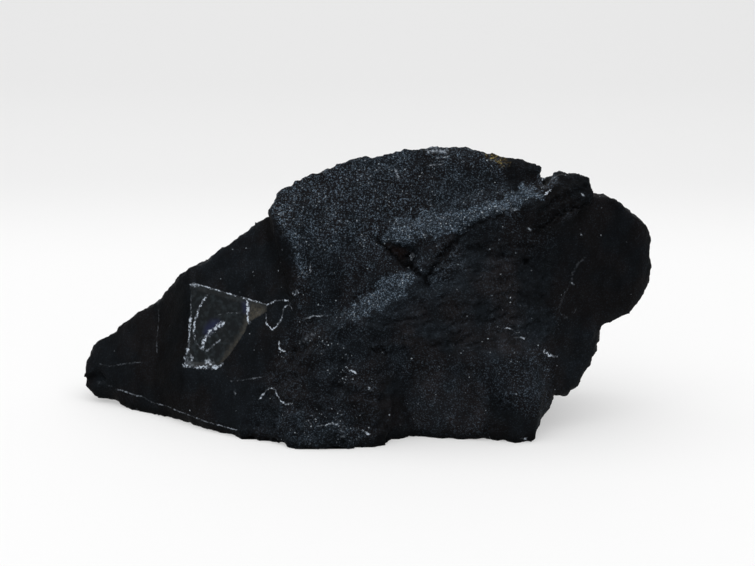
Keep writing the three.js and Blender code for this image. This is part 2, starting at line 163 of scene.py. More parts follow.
# %% Outline the breaks
RIGHT_LOBE = [
    (50, 53), (55, 56), (62, 50), (68, 42), (68, 28), (60, 22), (52, 8), (42, 5),
    (42.5, 17), (44, 25.5), (42, 32), (44, 37), (43, 43), (42, 46.5), (47, 50.5),
]
BREAKS = {
    "band": [  # two ledges of coarse bright crystals
        [
            (4.5, 43.1), (5.5, 43.9), (7.3, 46.9), (8.7, 47.7), (11.6, 47.7), (13, 49.4),
            (16.2, 49.5), (20.1, 49.8), (22.9, 50.3), (26.5, 51.6), (29.3, 52.3), (32.1, 52.8),
            (33.7, 53.7), (35.1, 54.7), (36.5, 54.5), (37.7, 53.9), (39.2, 53.4), (39, 52.8),
            (36.2, 52.5), (34.7, 51.6), (33.7, 50.5), (31.9, 49.8), (29.8, 49.5), (27.4, 48.8),
            (24.9, 48.1), (23.5, 46.9), (22.1, 45.6), (19.7, 45.2), (16.5, 44.8), (14.4, 44.4),
            (12.6, 44.5), (11.9, 43.1), (10.9, 41.8), (9.1, 42.3), (7.3, 43),
        ],
        [
            (13, 35.7), (11.6, 36.9), (9.1, 37), (7, 36.6), (5.5, 36.1), (3.9, 34.7), (3.4, 33.3),
            (2, 32.2), (0.2, 31.8), (-0.5, 30.5), (-1.8, 29.6), (-4.5, 28.2), (-9, 25.3),
            (-13.3, 23.4), (-13.5, 21.8), (-9.5, 23), (-6.5, 24.3), (-1.2, 27), (1.3, 28.3),
            (3.4, 29.1), (5.5, 29.8), (6.2, 30.5), (6.9, 31.2), (8.7, 31.8), (9.8, 32.7),
            (10.3, 34.1), (11.9, 35.1),
        ],
    ],
    "crown": [  # the large granular face at the top
        [
            (-21, 50), (-17, 55), (-10, 60), (0, 64), (16, 66), (32, 64), (40, 58), (38, 55.5),
            (33.5, 54), (27.5, 52), (20.5, 50), (15, 49.3), (8, 47), (4, 43), (6, 39),
            (2, 38), (-4.5, 36), (-12, 36), (-12.5, 38), (-13.5, 41.5), (-16, 46), (-18.5, 49.5),
        ]
    ],
    "window": [  # a scar of clear silica
        [
            (-37.6, 30.4), (-35.5, 30.6), (-30.5, 30.1), (-28, 29.6), (-24.5, 29.1), (-20.2, 28.6),
            (-20.1, 27.3), (-21.3, 26.3), (-22.3, 25.7), (-24.3, 24.4), (-25, 22.5), (-26.2, 20.6),
            (-28.2, 17.5), (-30.3, 15), (-32.2, 14), (-35.5, 13.4), (-39.1, 13.2), (-38.4, 16.4),
            (-38, 20), (-37.8, 25),
        ]
    ],
    "smooth": [  # dull shells: the left wing, the right lobe and the block on its shoulder
        [
            (-20.5, 50), (-30, 46), (-40, 38), (-70, 20), (-70, -5), (-36, -2), (-25, 2),
            (-22.5, 8.5), (-19, 16), (-15.5, 24), (-13.5, 33), (-14.5, 41), (-17.5, 46.5),
        ],
        RIGHT_LOBE,
        [(36, 50), (38.5, 54.5), (41, 59), (49, 60), (51, 53), (46, 51), (39.5, 47.5), (35, 45)],
    ],
    "hackly": [  # the foot that broke in small steps
        [
            (-22, 20), (-12, 20), (-2, 25), (6, 27), (9, 18), (8, 8), (9, -3), (-6, -4), (-20, -3),
            (-28, -2), (-24, 6),
        ]
    ],
    "streaks": [  # the middle, torn in low slanting steps
        [(13, 41), (27, 47), (39, 44), (42, 33), (43, 22), (28, 21), (10, 19), (2, 27), (12, 33)]
    ],
    "low_streaks": [  # the paler foot of that middle
        [
            (12, 25), (30, 25.5), (41, 25.5), (43.5, 22), (41, 19), (30, 18.5), (15, 18.5),
            (11, 21.5),
        ]
    ],
    "speckle": [  # patches where the crystals are a little larger
        [(29, 18.5), (33.5, 20), (40.5, 19), (41.5, 12.5), (38, 9.5), (31.5, 11)],
        [(-20, 6), (-13, 8), (-4, 6.5), (1, 4), (0, 0), (-16, -1)],
        [(16, 43), (21, 43), (21, 38), (17, 33), (13.5, 33), (15, 38)],
        [(9, 43.8), (13, 43.2), (15.5, 40.5), (14.2, 37.6), (12.4, 37), (10.8, 39.6)],
    ],
    "dish": [  # a shallow shell scar in the right foot
        [
            (10.5, 13.7), (13.1, 15.3), (17.4, 16.2), (23.8, 16), (27, 13.2), (27.5, 9.7),
            (27.8, 5.2), (26.2, 2.1), (19.7, 0.5), (14.3, 1.7), (11.4, 3.4), (10.2, 7),
            (10.1, 11.7),
        ]
    ],
    "leaning_facet_painted_shade": [  # painted shade on a side that leans away, left of the window
        [
            (-37.8, 34), (-43, 30), (-45.8, 26), (-46, 15), (-47, 3), (-39.5, 3), (-39, 13),
            (-38, 20),
        ]
    ],
    "under_lobe": [  # the undercut below the lobe and the right foot's flank
        [(38, 21), (44, 24), (50, 25), (60, 27), (62, 20), (50, 5), (42, 6), (43, 12)],
        [(27.7, 7.1), (29.6, 8.4), (32.4, 8), (36, 6.2), (39, 4.8), (38.5, -2), (28.5, -2)],
    ],
    "far_smooth": [  # the dullest shells: the left wing's nose and foot, and the right lobe
        [
            (-70, 40), (-46, 27), (-44, 14), (-40, 12), (-40, 4), (-36, 2), (-30, -4), (-70, -4),
        ],
        RIGHT_LOBE,
    ],
    "mid_right": [  # the smoother right end of the middle, below the block
        [(34, 42), (36, 47), (44, 48), (46, 34.5), (45, 27), (39.8, 29), (34.5, 31.3)]
    ],
    "under_band_painted_shade": [  # painted shade on the rock below the upper ledge
        [
            (22, 46), (27, 48), (33, 50), (38, 50), (42, 49.5), (43, 44), (40, 40), (34, 41),
            (27, 41.5), (22, 41),
        ]
    ],
    "valley_painted_shade": [  # painted shade in the groove between the feet
        [(4.2, 15.4), (7, 15.4), (9.2, 13.4), (9.7, 9.4), (11, 4), (13, 1.4), (13, -2), (5, -2),
         (4.2, 5)]
    ],
    "glow": [  # light caught inside the window
        [(-34.5, 20.6), (-34.1, 22), (-32.8, 23.3), (-31.2, 23.6), (-30.6, 23), (-32.4, 21.6),
         (-33.8, 20.2)],
        [(-25.5, 28), (-24.7, 28.4), (-24.5, 26.2), (-25.2, 26.2)],
    ],
    "crown_shade": [  # finer grain on the crown's right, and a dull patch below its top
        [(24, 64), (23, 58), (25, 54.5), (34, 56), (39, 56), (40, 62)],
        [(10.5, 63), (18.5, 63), (19.5, 53), (15, 51), (10.5, 54)],
    ],
    "crown_low": [  # where the crown's glitter thins out, above the lower ledge
        [(-11.5, 41), (-4, 41.5), (3, 41), (4, 38), (-4, 35), (-12, 35)]
    ],
    "crown_end": [  # the dull right end of the crown
        [
            (31.7, 60.5), (34.5, 61.5), (39.5, 60.5), (39, 56.3), (38.9, 54.6), (37.6, 54.6),
            (35.8, 55.2), (34.4, 54.6), (33.3, 53.6), (31.4, 54.3), (30.6, 57.4),
        ]
    ],
    "block": [  # the block wedged on the right shoulder
        [
            (37.5, 52), (39.5, 55), (42.5, 57.5), (49, 58), (51, 53), (46, 51.3), (40, 48),
            (36.5, 46),
        ]
    ],
    "pale_chip": [  # a pale bruise between the crown and the block
        [(38.4, 57), (38.2, 55.4), (39, 54.4), (40.6, 54.8), (42.4, 55.6), (42.2, 57.2)]
    ],
    "cliff_painted_shadow": [  # painted shadow at the foot of the crown's left edge
        [
            (-20.3, 49), (-18.6, 46.5), (-17.2, 44), (-15.7, 42), (-14.4, 38), (-13.5, 34),
            (-16, 32.5), (-18.5, 38), (-21, 43.5),
        ]
    ],
    "nests": [  # where white chips gather
        [(-17, 2), (-12, 7), (-4, 8.5), (1, 6.5), (3, 3), (-4, 1.5), (-12, 0.5)],
        [(-9, 24), (-5, 24), (-2.5, 20), (-6, 19), (-9, 21)],
        [(-5, 17.5), (0, 18.5), (1.5, 15), (-2, 13), (-5, 14)],
        [(-20.5, 22), (-16, 22), (-15, 19), (-19, 18.5)],
    ],
    "cliff": [  # that edge itself, which sparkles
        [
            (-19.2, 50), (-17.7, 47.5), (-16.1, 45.4), (-14.8, 43.8), (-13.7, 41.4), (-13.1, 38),
            (-12.3, 35.4), (-10.9, 35.6), (-11.4, 38.4), (-11.9, 41.8), (-13, 44.7), (-14.5, 46.6),
            (-15.9, 48.6), (-17, 50.6),
        ]
    ],
    "rusty": [  # brown rock in the pit between the ledges
        [
            (5, 42.4), (7, 42.5), (9, 41.6), (10.8, 40.5), (9.8, 39.3), (9, 38.6), (7.6, 39.9),
            (6.2, 41),
        ]
    ],
    "pit": [  # the broken hollow round that rock
        [
            (4.6, 42.7), (7, 42.8), (9.4, 41.8), (11.6, 42.6), (13, 42), (12.2, 41), (13.2, 40),
            (11.6, 39), (12.5, 38), (13.6, 36.4), (12.6, 35.7), (10.9, 37.3), (9, 37.6),
            (7.6, 38.8), (6.4, 40.6),
        ]
    ],
    "ochre": [  # an iron stain on the top edge
        [
            (26.9, 60.2), (28.3, 59.5), (29.6, 59.1), (30.8, 58.6), (32, 58.9), (31.8, 60.6),
            (30, 62), (27.6, 62),
        ]
    ],
    "frosted": [  # crushed white corners of the window
        [(-39.4, 13.1), (-39, 15.8), (-38.2, 17.2), (-37.5, 15.4), (-36.9, 13.4)],
        [(-34.2, 13.5), (-34, 15), (-33.6, 16), (-33, 15.2), (-32.2, 14.6), (-32, 13.8)],
        [(-37.7, 30.8), (-37.6, 29.6), (-36.7, 30), (-35.5, 30.3), (-35.4, 30.9)],
    ],
    "smoky": [  # the brown rim of the window
        [
            (-24.3, 28.6), (-20, 28.2), (-19.5, 26), (-22.5, 24.6), (-24.4, 22), (-26, 19.6),
            (-30, 14.4), (-31.6, 13.9), (-30, 16.4), (-27.2, 20.3), (-25.6, 23.4),
        ]
    ],
}
print("kinds of break:", len(BREAKS))

# %% [markdown]
# ## From outlines to depths
#
# The outlines are flat, so on their own they would mark the back of the stone as well. A normal
# can't tell the front by itself, because a dimple in the back has a wall that faces forwards.
# So the skin is also parted into narrow columns that run from front to back, and a point is on
# the front only if it lies in the nearer part of its column.

# %% Measure the depths
COLUMN = 3  # width of a column in mm
FAR = 9.0  # mm or half widths, farther than anything is drawn from its outline or line


def measure_line(places, corners, closed):
    """For each place: mm to a line, which side of it, how far along it, and the line's length."""
    corners = np.array(corners, float)
    ends = np.roll(corners, -1, axis=0) if closed else corners[1:]
    gap = np.full(len(places), np.inf)
    side = np.zeros(len(places))
    run = np.zeros(len(places))
    walked = 0.0
    for a, b in zip(corners, ends):
        step = b - a
        length = np.hypot(*step)
        t = ((places - a) @ step) / length**2
        here = np.linalg.norm(places - a - np.clip(t, 0, 1)[:, None] * step, axis=1)
        nearer = here < gap
        cross = step[0] * (places[:, 1] - a[1]) - step[1] * (places[:, 0] - a[0])
        gap = np.where(nearer, here, gap)
        side = np.where(nearer, np.where(cross < 0, -1.0, 1.0), side)
        run = np.where(nearer, walked + t * length, run)
        walked += length
    return gap, side, run, walked


def depth_inside(places, outline):
    """How many mm each place lies inside an outline, and less than nothing outside it."""
    gap = measure_line(places, outline, True)[0]
    inside = np.zeros(len(places), bool)
    corners = np.array(outline, float)
    for a, b in zip(corners, np.roll(corners, -1, axis=0)):
        crosses = (a[1] > places[:, 1]) != (b[1] > places[:, 1])
        rise = (b[1] - a[1]) or 1.0  # a level side is never crossed
        inside ^= crosses & (places[:, 0] < (places[:, 1] - a[1]) * (b[0] - a[0]) / rise + a[0])
    return np.where(inside, gap, -gap)


def on_front():
    """True where the skin faces the front and isn't a dimple in the back."""
    points = read_points(lump.data) / MM
    cells = np.round(points[:, [0, 2]] / COLUMN).astype(int)
    column = np.unique(cells, axis=0, return_inverse=True)[1].ravel()
    nearest = np.full(column.max() + 1, np.inf)
    furthest = np.full(column.max() + 1, -np.inf)
    np.minimum.at(nearest, column, points[:, 1])
    np.maximum.at(furthest, column, points[:, 1])
    limit = 0.3 * nearest[column] + 0.7 * furthest[column] + 1  # past the middle, and 1 mm more
    faces_forwards = read_points(lump.data, "normal")[:, 1] < 0.4
    return faces_forwards & (points[:, 1] < limit)


def measure_breaks():
    """Depth in mm of every point inside each kind of break, on the front only."""
    places = read_points(lump.data)[:, [0, 2]] / MM
    front = on_front()
    depths = {}
    for name, outlines in BREAKS.items():
        depth = np.max([depth_inside(places, outline) for outline in outlines], axis=0)
        depths[name] = np.where(front, depth, -FAR)
    return depths


depths = measure_breaks()
for name, depth in depths.items():
    print(name, "covers", int((depth > 0).sum()), "points")

# %% [markdown]
# ## The breaks behind
#
# The back was broken by a few hard blows, and where two such breaks meet they leave a low ridge,
# which stone workers call an arris. Outlines for all of them would be long lists, so only the
# middle of each break is written down, and a point belongs to the break whose middle is nearest.
# That alone gives straight ridges, so the points are moved to and fro before they are measured.

# %% Raise the ridges behind
BACK = np.array([  # x and z of the middle of each break, its glitter and its tone
    (-52, 10, 0.04, 0.9), (-30, 22, 0.12, 1.6), (-24, 6, 0.30, 1.3), (-6, 50, 0.45, 1.1),
    (-2, 24, 0.07, 1.3), (10, 5, 0.18, 2.2), (22, 42, 0.30, 1.5), (30, 20, 0.10, 2.0),
    (48, 40, 0.04, 1.0), (44, 10, 0.20, 1.4),
])
RIDGE_WIDTH, RIDGE_HEIGHT = 5, 0.7  # mm


def wander(places, size=1.2):
    """The places moved to and fro, so that a line drawn through them comes out crooked."""
    x, z = places.T / size
    sway = [np.sin(2.3 * z + 2 * np.sin(1.7 * x)), np.sin(2.9 * x + 2 * np.sin(2.1 * z))]
    return places + 0.3 * size * np.stack(sway, axis=1)


def back_breaks():
    """For each point: its break, mm nearer to it than to the next one, and if it is behind."""
    spots = wander(read_points(lump.data)[:, [0, 2]] / MM, 5)
    gaps = np.linalg.norm(spots[:, None] - BACK[None, :, :2], axis=2)
    ordered = np.sort(gaps, axis=1)
    behind = soft_step(read_points(lump.data, "normal")[:, 1], 0.2, 0.5)
    return gaps.argmin(axis=1), ordered[:, 1] - ordered[:, 0], behind


def push(group, height):
    """Moves the skin outwards by that height where the group's weight is one."""
    apply_modifier(lump, "DISPLACE", strength=height, mid_level=0, vertex_group=group)


_, apart, behind = back_breaks()
add_group("arrises", (1 - soft_step(apart, 0, RIDGE_WIDTH)) * behind)
push("arrises", RIDGE_HEIGHT * MM)
print("points behind:", int((behind > 0.5).sum()))

# %% [markdown]
# ## Cracks, grooves and lips
#
# A crack in silica is a thin dark cleft, and a step between two breaks has a sharp lip. Each is
# written as a line of x and z in millimetres, with half its width and then its depth, or its
# height if it is a lip. One displacement cuts all the clefts and another raises all the lips,
# each through its own vertex group. A third sinks the scar of clear silica.

# %% Cut the clefts and raise the lips
CLEFTS = [  # corners, half width in mm, depth in mm
    # below the upper ledge, down to the pit and on past the lower ledge
    ([(26, 48.2), (23.5, 46.6), (21, 44.2), (18.5, 41.8), (17, 40.3), (15.4, 37.8),
      (13.6, 34.3)], 0.6, 0.7),
    ([(2.8, 43.8), (6.5, 41), (8.3, 39.6), (10, 38.2), (11.7, 37.4), (13.8, 36.2)], 0.4, 0.8),
    ([(11.8, 40.6), (10.2, 39.8), (9.4, 39)], 0.35, 0.8),
    ([(11, 46.3), (11.7, 45), (12.6, 43.6)], 0.4, 0.5),
    ([(20.5, 44.9), (22.3, 46.3), (24.3, 47), (28, 48.8), (31.5, 50.3), (35, 51.6)], 0.5, 0.7),
    # the undercut of the block, and small clefts of the middle and the lobe
    ([(49.3, 51.2), (46, 50.8), (42.5, 49.6), (40, 47.8), (37.2, 45.8)], 0.3, 0.65),
    ([(34.8, 40), (35.8, 39.1), (37.6, 39.6)], 0.4, 0.8),
    ([(29, 9.5), (31, 10.6), (33.5, 10.2)], 0.5, 0.6),
    ([(15, 21.5), (20, 22.2), (24, 24)], 0.35, 0.45),
    ([(22, 27), (27, 28.5), (30, 30.2)], 0.35, 0.4),
    ([(2, 21.5), (6, 20.5), (10.5, 21.3)], 0.4, 0.5),
    # beside the right foot, and on its right corner
    ([(11.6, 15.5), (10.2, 12.5), (9.6, 8), (9.6, 3)], 1.2, 0.25),
    ([(27.7, 7.4), (29.6, 8.5), (32.4, 8.2), (34.5, 7)], 0.6, 0.3),
    ([(26.6, 3.2), (28.6, 3.6), (29.8, 4.2)], 0.4, 0.3),
]
LIPS = [  # corners, half width in mm, height in mm
    # the crown's left edge, and both ledges
    ([(-18.6, 50), (-17.4, 47.3), (-15.8, 45), (-14.3, 43.6), (-13.3, 41), (-12.6, 38),
      (-11.6, 35.6)], 0.8, 0.6),
    ([(4.5, 45), (8, 47.2), (15.5, 49.6), (20.5, 50.2), (27.5, 52.3), (33, 54)], 0.7, 0.45),
    ([(-13, 24), (-4.5, 29.4), (2, 34.3), (6.5, 37)], 0.7, 0.35),
    # small steps on the lobe and on the left of the middle
    ([(48.2, 38.2), (46.7, 37), (45.6, 34.6), (43.2, 32)], 0.6, 0.3),
    ([(-11.8, 26.7), (-10, 27.2), (-7, 27.3)], 0.4, 0.35),
    # the rim of the shell scar in the right foot
    ([(11.4, 12.8), (13.1, 15.1), (16.3, 16.8), (19.9, 16.7), (23.4, 14.8), (26, 11.5),
      (27.5, 8)], 0.8, 0.45),
    # ridges along the block, folds under the upper ledge, and the lobe's shoulder
    ([(37, 50.2), (41, 52.8), (45, 54.4), (49, 55.4)], 0.5, 0.45),
    ([(36.5, 48), (40.8, 50.6), (45.1, 52.2), (49.5, 53.2)], 0.4, 0.35),
    ([(21.8, 42.3), (23.5, 43.2), (25.6, 43.3), (28.2, 42.2), (31, 41.8), (33, 42)], 0.6, 0.5),
    ([(23.6, 27.5), (27.8, 28), (32.2, 26.8), (34.5, 24.9)], 0.6, 0.4),
    ([(51, 51.4), (54.4, 51), (56.6, 49.5)], 0.6, 0.3),
    # the full flank between the lobe and the right foot
    ([(49, 22.5), (50.3, 17.5), (48.3, 12.5), (45.8, 9.5), (43, 8), (41, 6.2)], 2.4, 0.8),
]
REACH = 2.0  # mm that a weight of one stands for
SCAR = 0.55  # mm that the clear scar is sunk


def line_profile(lines):
    """How deep the lines cut at each point of the front, in mm, with soft shoulders."""
    places = wander(read_points(lump.data)[:, [0, 2]] / MM)
    front = on_front()
    cut = np.zeros(len(places))
    for corners, half_width, depth in lines:
        gap, _, run, length = measure_line(places, corners, False)
        taper = np.clip(np.minimum(run, length - run) / 2 + 0.35, 0, 1)  # shallow at both ends
        shoulder = 1 - soft_step(gap, 0.25 * half_width, 1.6 * half_width)
        cut = np.maximum(cut, depth * taper * shoulder)
    return cut * front


cut_depth = line_profile(CLEFTS)
add_group("clefts", cut_depth / REACH)
add_group("lips", line_profile(LIPS) / REACH)
add_group("scar", soft_step(depths["window"], -0.1, 1.3))
push("clefts", -REACH * MM)
push("lips", REACH * MM)
push("scar", -SCAR * MM)
print("points in a cleft:", int((cut_depth > 0.1).sum()))

# %% [markdown]
# ## The grain of each break
#
# Smooth shells keep only slow ripples. The granular crown is pitted like coarse sandpaper, the
# middle is torn in low slanting steps, and the left foot broke in small hackly chips. All of them
# are displacements by procedural textures. Each pattern acts through a vertex group, so it fades
# out where the break changes. Sharp edges and the outline are nibbled by small chips and crumbs.
# The slanting steps come from textures read in the space of an empty that is turned and stretched,
# which is deleted afterwards.

# %% Roughen each break
smooth = soft_step(depths["smooth"], -1.5, 1.5)
in_window = soft_step(depths["window"], -0.3, 0.3)
granular = soft_step(np.maximum(depths["crown"], depths["band"]), -1, 1)
hackly = soft_step(depths["hackly"], -4, 2)
streaks = soft_step(depths["streaks"], -3, 3)
dish = soft_step(depths["dish"], -1, 1.5)
uneven = (1 - smooth) * (1 - in_window)
add_group("broken", uneven * (1 - 0.8 * granular) * (1 - 0.85 * dish) * (1 - 0.45 * streaks))
add_group("hackly", uneven * np.maximum(hackly, 0.15) * (1 - granular))
add_group("torn", uneven * np.maximum(streaks, 0.35 * hackly) * (1 - dish))
add_group("granular", uneven * np.maximum(granular, 0.3))
facing = np.abs(read_points(lump.data, "normal")[:, 1])
turn = 1 - soft_step(facing, 0.2, 0.7)  # where the front turns over to the back
add_group("rims", (0.12 + 0.88 * crease) * (1 - in_window) * (1 - 0.4 * smooth))
add_group("outline", np.maximum(turn, 0.6 * crease) * (1 - in_window) * (1 - 0.25 * smooth))


def roughen(name, kind, size, height, group="", space=None, **settings):
    """Displaces the skin by a texture with bumps of that size, up and down about its middle."""
    pattern = bpy.data.textures.new(name, kind)
    pattern.noise_scale = size
    for key, value in settings.items():
        setattr(pattern, key, value)
    coordinates = {"texture_coords": "LOCAL"}
    if space:
        coordinates = {"texture_coords": "OBJECT", "texture_coords_object": space}
    apply_modifier(
        lump,
        "DISPLACE",
        texture=pattern,
        strength=height,
        mid_level=0.5,
        vertex_group=group,
        **coordinates,
    )


def slanted_empty(name, angle, stretch):
    """An empty turned by that many degrees in the plane of the front, with its axes stretched."""
    bpy.ops.object.empty_add(rotation=(0, radians(angle), 0))
    empty = bpy.context.object
    empty.name = name
    empty.scale = stretch
    bpy.context.view_layer.update()
    return empty


slant = slanted_empty("slant", -7, (4.0, 1.6, 1.0))  # bumps four times as long as high
roughen("shell_ripples", "CLOUDS", 7 * MM, 0.6 * MM)
roughen("broad_chips", "VORONOI", 5.5 * MM, 1.3 * MM, "broken")
roughen("hackly_chips", "VORONOI", 2.6 * MM, 1.5 * MM, "hackly")
roughen("nicks", "VORONOI", 2.3 * MM, 1.6 * MM, "rims")
roughen("bitten_outline", "CLOUDS", 2.2 * MM, 1.9 * MM, "outline", noise_depth=3)
roughen("torn_ledges", "CLOUDS", 2.6 * MM, 0.75 * MM, "torn", space=slant, noise_depth=1)
roughen("torn_steps", "DISTORTED_NOISE", 1.1 * MM, 0.3 * MM, "torn", space=slant,
        noise_basis="CELL_NOISE", noise_distortion="IMPROVED_PERLIN", distortion=1.4)
roughen("torn_streaks", "CLOUDS", 0.8 * MM, 0.5 * MM, "torn", space=slant, noise_depth=1)
roughen("pits", "CLOUDS", 1.3 * MM, 0.5 * MM, "granular", noise_depth=2)
roughen("crumbs", "CLOUDS", 1.0 * MM, 0.9 * MM, "rims", noise_depth=2)
bpy.ops.object.select_all(action="DESELECT")
slant.select_set(True)
bpy.ops.object.delete()
print("skin stands", round(float(lump.dimensions.z) / MM, 1), "mm high")

# %% [markdown]
# ## Flat feet, worn and lit edges, and hollows
#
# The displacements pushed parts of the feet below the floor, so the skin is cut flat there again
# and closed. The points that stand out on sharp edges are found once more on the rough skin,
# because rubbed edges of black silica turn pale, and they also get a painted highlight. Points in
# inner corners are found as well, for painted shade.

# %% Cut the feet flat and find the worn and lit edges and the hollows
SOLE = 0.05 * MM  # height of the cut, a hair above the floor
lump.select_set(True)
bpy.context.view_layer.objects.active = lump
bpy.ops.object.mode_set(mode="EDIT")
bpy.ops.mesh.select_all(action="SELECT")
bpy.ops.mesh.bisect(
    plane_co=(0, 0, SOLE),
    plane_no=(0, 0, 1),
    clear_inner=True,
    use_fill=True,
    threshold=WELD,
)
bpy.ops.object.mode_set(mode="OBJECT")
bpy.ops.object.shade_smooth()
moved = edge_shift(passes=4)
# edges that stand out: rubbed pale, and also given a painted highlight
rubbed_and_lit_edges = soft_step(-moved, 0.05, 0.28)
# inner corners, which get painted shade
hollow = soft_step(moved, 0.03, 0.2)
bpy.ops.object.select_all(action="DESELECT")
lump.vertex_groups.clear()
faces = sum(len(face.vertices) - 2 for face in lump.data.polygons)
print("skin:", faces, "triangles,", int((rubbed_and_lit_edges > 0.5).sum()), "worn points")

# %% [markdown]
# ## Numbers for the paint
#
# The paint needs to know, at each point, how much the break glitters, how light its body is, with
# painted light and shade in it, and how deep a cleft or hollow it lies in, for painted shade
# there.
# Numbers like these could be painted by hand as vertex colours. Here they are worked out from the
# outlines and kept as named attributes, which the material reads. The outlines with crisp or
# ragged edges are kept as their depth, and cut off in the material.

# %% Keep the numbers on the skin
BARE_GLITTER, BARE_TONE = 0.18, 0.92  # of skin that lies in none of the outlines
LEDGE_LINE = 39  # height in mm that parts the upper ledge from the lower one
DARK_CLEFT = 0.7  # depth in mm at which a cleft's painted shade is darkest


def keep(name, values):
    """Keeps one number for each point as a named attribute, which the material can read."""
    attribute = lump.data.attributes.new(name, "FLOAT", "POINT")
    attribute.data.foreach_set("value", np.asarray(values, np.float32))


# What glitters how much, and how light its body is. Each line is laid over those before it.
SHADES = [  # break, half the width of its soft edge in mm, glitter, tone
    ("streaks", 4, 0.11, 2.1),
    ("low_streaks", 3, 0.12, 2.7),
    ("mid_right", 3, 0.05, 1.2),
    ("under_band_painted_shade", 2, 0.10, 0.8),
    ("hackly", 4, 0.16, 1.2),
    ("smooth", 2, 0.045, 1.05),
    ("far_smooth", 2, 0.03, 0.9),
    ("under_lobe", 1.2, 0.05, 1.35),
    ("dish", 0.9, 0.19, 2.5),
    ("speckle", 2, 0.34, 1.6),
    ("valley_painted_shade", 1.0, 0.05, 1.4),
    ("crown", 2.5, 0.54, 1.0),
    ("crown_shade", 3, 0.36, 0.8),
    ("crown_low", 3, 0.26, 0.95),
    ("crown_end", 1.2, 0.06, 0.55),
    ("cliff_painted_shadow", 1.5, 0.03, 0.5),
    ("cliff", 0.8, 1.0, 1.4),
    ("pit", 0.5, 0.10, 0.9),
    ("block", 0.6, 0.05, 0.4),
    ("pale_chip", 0.5, 0.8, 2.6),
    ("leaning_facet_painted_shade", 0.6, 0.02, 0.5),
]
depths = measure_breaks()
glitters = np.full(len(lump.data.vertices), BARE_GLITTER)
tones = np.full(len(lump.data.vertices), BARE_TONE)
for name, soft_edge, bright, pale in SHADES:
    share = soft_step(depths[name], -soft_edge, soft_edge)
    glitters += (bright - glitters) * share
    tones += (pale - tones) * share
which, _, behind = back_breaks()
glitters += (BACK[which, 2] - glitters) * behind
tones += (BACK[which, 3] - tones) * behind
x_mm, y_mm, z_mm = (read_points(lump.data) / MM).T
upper_ledge = 0.90 + 0.19 * soft_step(x_mm, 8, 24)  # both ledges are brighter towards the right
lower_ledge = 0.12 + 0.84 * soft_step(x_mm, -9, 5)
floor_painted_shadow = 0.25 + 0.75 * soft_step(z_mm, 0.2, 3.0)  # painted shadow where it stands on the floor
# Painted light: skin that faces upwards is made paler, and skin that faces down darker.
upward_painted_light = 0.70 + 0.75 * soft_step(read_points(lump.data, "normal")[:, 2], -0.3, 0.75)
keep("ledge", np.where(z_mm > LEDGE_LINE, upper_ledge, lower_ledge))
keep("glitter", glitters * floor_painted_shadow)
keep("tone", tones * upward_painted_light * floor_painted_shadow)  # painted light on what faces upwards, and painted shadow at the foot
# painted shade in clefts and hollows, kept as how deep a point lies in them
keep("cleft", np.clip(np.maximum(line_profile(CLEFTS) / DARK_CLEFT, 0.75 * hollow), 0, 1))
keep("worn_and_lit", rubbed_and_lit_edges)
depths["ochre"] -= 0.5 * np.maximum(0, y_mm + 1)  # the stain thins out past the top edge
for name in ("band", "window", "ochre", "rusty", "frosted", "smoky", "nests", "glow"):
    keep(name, depths[name])
print("glitter from", round(float(glitters.min()), 2), "to", round(float(glitters.max()), 2))

# %% [markdown]
# ## White veins
#
# Hairlines of white quartz run over the front, most of them a fifth to half a millimetre wide,
# which is less than a square of the net. A thin line can still be kept on a coarse net as the
# signed distance to it, counted in half widths: it is less than nothing on one side and more on
# the other, so it crosses zero exactly on the line. Lines that come near each other go into
# different sets. A second number says how white each line is, and is nothing away from it and past
# its ends. The last set holds short chips and the frost on some edges.

